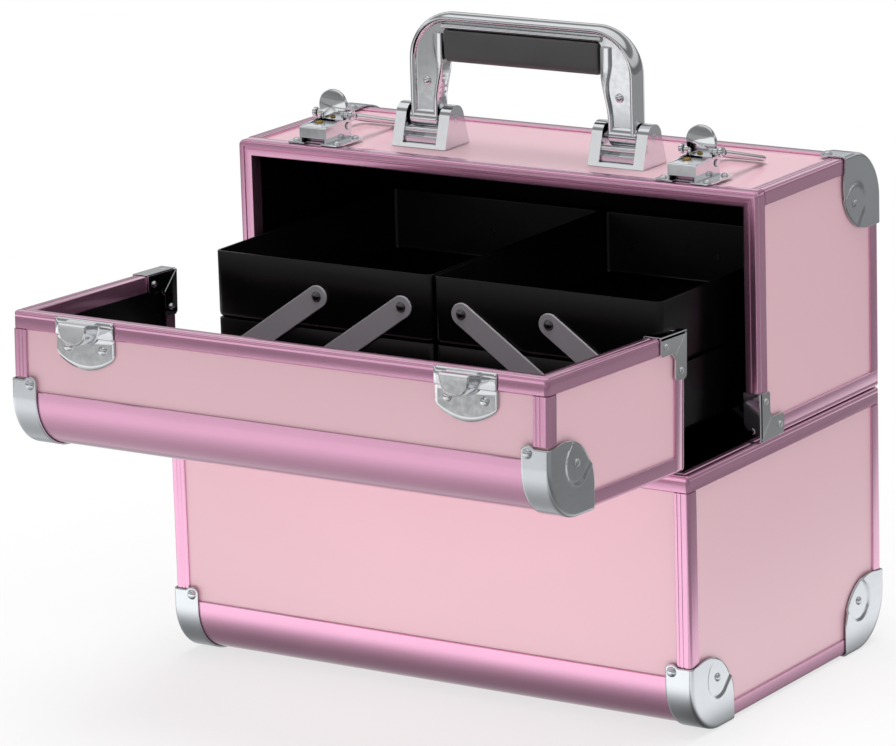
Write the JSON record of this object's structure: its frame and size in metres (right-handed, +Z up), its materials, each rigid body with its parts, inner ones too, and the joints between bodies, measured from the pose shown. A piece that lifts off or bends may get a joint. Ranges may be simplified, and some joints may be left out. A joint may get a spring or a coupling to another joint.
{
  "type": "makeup train case",
  "caption": "Rectangular beauty case with rounded long edges, split covers folding front and back, nested cantilever trays, draw latches and a carry handle.",
  "frame": {"origin": "centre of the outer face of the floor panel, the face under the base", "axes": "+X to the right along the case's width, +Y to the rear, +Z up; the front cover hinges on the -Y side"},
  "size_m": [0.335, 0.3633, 0.3528],
  "materials": {
    "panel": "pale pink embossed laminate",
    "lining": "black, glossy",
    "anodised": "mauve-pink anodised, brushed",
    "steel": "nickel plated",
    "chrome": "polished",
    "arm": "grey plated steel",
    "grip": "soft black",
    "brass": "satin"
  },
  "bodies": {
    "base": {"base_panels": "panel", "base_floor": "panel", "base_lining": "lining", "base_front_profile": "anodised", "base_rear_profile": "anodised", "base_frame": "anodised", "base_cap_front_left": "steel", "base_cap_front_right": "steel", "base_cap_rear_left": "steel", "base_cap_rear_right": "steel", "front_hinge_base_leaf": "steel", "rear_hinge_base_leaf": "steel"},
    "front_cover": {"front_cover_panels": "panel", "front_cover_lining": "lining", "front_cover_profile": "anodised", "front_cover_frame": "anodised", "front_cover_cap_left": "steel", "front_cover_cap_right": "steel", "front_cover_bracket_left": "steel", "front_cover_bracket_right": "steel", "catch_left": "chrome", "catch_right": "chrome", "front_hinge_cover_leaf": "steel"},
    "rear_cover": {"rear_cover_panels": "panel", "rear_cover_lining": "lining", "rear_cover_profile": "anodised", "rear_cover_frame": "anodised", "rear_cover_cap_left": "steel", "rear_cover_cap_right": "steel", "rear_cover_bracket_left": "steel", "rear_cover_bracket_right": "steel", "rear_hinge_cover_leaf": "steel", "latch_plate_left": "chrome", "latch_plate_right": "chrome", "handle_bracket_left": "chrome", "handle_bracket_right": "chrome"},
    "handle": {"handle_bow": "chrome", "handle_grip": "grip"},
    "latch_lever_left": {"latch_lever_left": "chrome"},
    "latch_bail_left": {"latch_bail_left": "chrome"},
    "latch_lock_left": {"latch_lock_left": "brass"},
    "latch_lever_right": {"latch_lever_right": "chrome"},
    "latch_bail_right": {"latch_bail_right": "chrome"},
    "latch_lock_right": {"latch_lock_right": "brass"},
    "arms_long_left": {"arm_long_left_front": "arm", "arm_long_left_rear": "arm"},
    "arms_upper_left": {"arm_upper_left_front": "arm", "arm_upper_left_rear": "arm"},
    "arms_lower_left": {"arm_lower_left_front": "arm", "arm_lower_left_rear": "arm"},
    "tray_lower_left": {"tray_lower_left": "lining"},
    "tray_upper_left": {"tray_upper_left": "lining"},
    "arms_long_right": {"arm_long_right_front": "arm", "arm_long_right_rear": "arm"},
    "arms_upper_right": {"arm_upper_right_front": "arm", "arm_upper_right_rear": "arm"},
    "arms_lower_right": {"arm_lower_right_front": "arm", "arm_lower_right_rear": "arm"},
    "tray_lower_right": {"tray_lower_right": "lining"},
    "tray_upper_right": {"tray_upper_right": "lining"}
  },
  "joints": [
    {"name": "front_cover_fold", "type": "hinge", "parent": "base", "child": "front_cover", "pos_m": [0, -0.1082, 0.1421], "axis": [-1, 0, 0], "range_deg": [0, 88]},
    {"name": "rear_cover_fold", "type": "hinge", "parent": "base", "child": "rear_cover", "pos_m": [0, 0.1082, 0.1421], "axis": [-1, 0, 0], "range_deg": [0, 90]},
    {"name": "handle_fold", "type": "hinge", "parent": "rear_cover", "child": "handle", "pos_m": [0, 0.0105, 0.2909], "axis": [-1, 0, 0], "range_deg": [0, 90]},
    {"name": "latch_left_lever", "type": "hinge", "parent": "rear_cover", "child": "latch_lever_left", "pos_m": [-0.1175, -0.003, 0.2841], "axis": [-1, 0, 0], "range_deg": [0, 90]},
    {"name": "latch_left_bail", "type": "hinge", "parent": "latch_lever_left", "child": "latch_bail_left", "pos_m": [-0.1175, -0.003, 0.2901], "axis": [1, 0, 0], "range_deg": [0, 289.2]},
    {"name": "lock_left_turn", "type": "hinge", "parent": "rear_cover", "child": "latch_lock_left", "pos_m": [-0.1215, -0.012, 0.2866], "axis": [0, 0, 1], "range_deg": [0, 90]},
    {"name": "latch_right_lever", "type": "hinge", "parent": "rear_cover", "child": "latch_lever_right", "pos_m": [0.1175, -0.003, 0.2841], "axis": [-1, 0, 0], "range_deg": [0, 90]},
    {"name": "latch_right_bail", "type": "hinge", "parent": "latch_lever_right", "child": "latch_bail_right", "pos_m": [0.1175, -0.003, 0.2901], "axis": [1, 0, 0], "range_deg": [0, 289.2]},
    {"name": "lock_right_turn", "type": "hinge", "parent": "rear_cover", "child": "latch_lock_right", "pos_m": [0.1135, -0.012, 0.2866], "axis": [0, 0, 1], "range_deg": [0, 90]},
    {"name": "tray_left_swing", "type": "hinge", "parent": "base", "child": "arms_long_left", "pos_m": [-0.14307, 0, 0.124], "axis": [0, -1, 0], "range_deg": [0, 8]},
    {"name": "tray_left_lower_arms", "type": "hinge", "parent": "base", "child": "arms_lower_left", "pos_m": [-0.08857, 0, 0.124], "axis": [0, -1, 0], "range_deg": [0, 8]},
    {"name": "tray_left_lower_level", "type": "hinge", "parent": "arms_long_left", "child": "tray_lower_left", "pos_m": [-0.07381, 0, 0.1716], "axis": [0, 1, 0], "range_deg": [0, 8]},
    {"name": "tray_left_upper_level", "type": "hinge", "parent": "arms_long_left", "child": "tray_upper_left", "pos_m": [-0.0191, 0, 0.2092], "axis": [0, 1, 0], "range_deg": [0, 8]},
    {"name": "tray_left_upper_arms", "type": "hinge", "parent": "tray_lower_left", "child": "arms_upper_left", "pos_m": [-0.12831, 0, 0.1716], "axis": [0, -1, 0], "range_deg": [0, 8]},
    {"name": "tray_right_swing", "type": "hinge", "parent": "base", "child": "arms_long_right", "pos_m": [0.14307, 0, 0.124], "axis": [0, 1, 0], "range_deg": [0, 8]},
    {"name": "tray_right_lower_arms", "type": "hinge", "parent": "base", "child": "arms_lower_right", "pos_m": [0.08857, 0, 0.124], "axis": [0, 1, 0], "range_deg": [0, 8]},
    {"name": "tray_right_lower_level", "type": "hinge", "parent": "arms_long_right", "child": "tray_lower_right", "pos_m": [0.07381, 0, 0.1716], "axis": [0, -1, 0], "range_deg": [0, 8]},
    {"name": "tray_right_upper_level", "type": "hinge", "parent": "arms_long_right", "child": "tray_upper_right", "pos_m": [0.0191, 0, 0.2092], "axis": [0, -1, 0], "range_deg": [0, 8]},
    {"name": "tray_right_upper_arms", "type": "hinge", "parent": "tray_lower_right", "child": "arms_upper_right", "pos_m": [0.12831, 0, 0.1716], "axis": [0, 1, 0], "range_deg": [0, 8]}
  ],
  "couplings": [
    {"joint": "latch_left_bail", "follows": "latch_left_lever", "ratio": 3.212},
    {"joint": "latch_right_bail", "follows": "latch_right_lever", "ratio": 3.212},
    {"joint": "tray_left_lower_arms", "follows": "tray_left_swing", "ratio": 1},
    {"joint": "tray_left_lower_level", "follows": "tray_left_swing", "ratio": 1},
    {"joint": "tray_left_upper_level", "follows": "tray_left_swing", "ratio": 1},
    {"joint": "tray_left_upper_arms", "follows": "tray_left_swing", "ratio": 1},
    {"joint": "tray_right_lower_arms", "follows": "tray_right_swing", "ratio": 1},
    {"joint": "tray_right_lower_level", "follows": "tray_right_swing", "ratio": 1},
    {"joint": "tray_right_upper_level", "follows": "tray_right_swing", "ratio": 1},
    {"joint": "tray_right_upper_arms", "follows": "tray_right_swing", "ratio": 1}
  ]
}
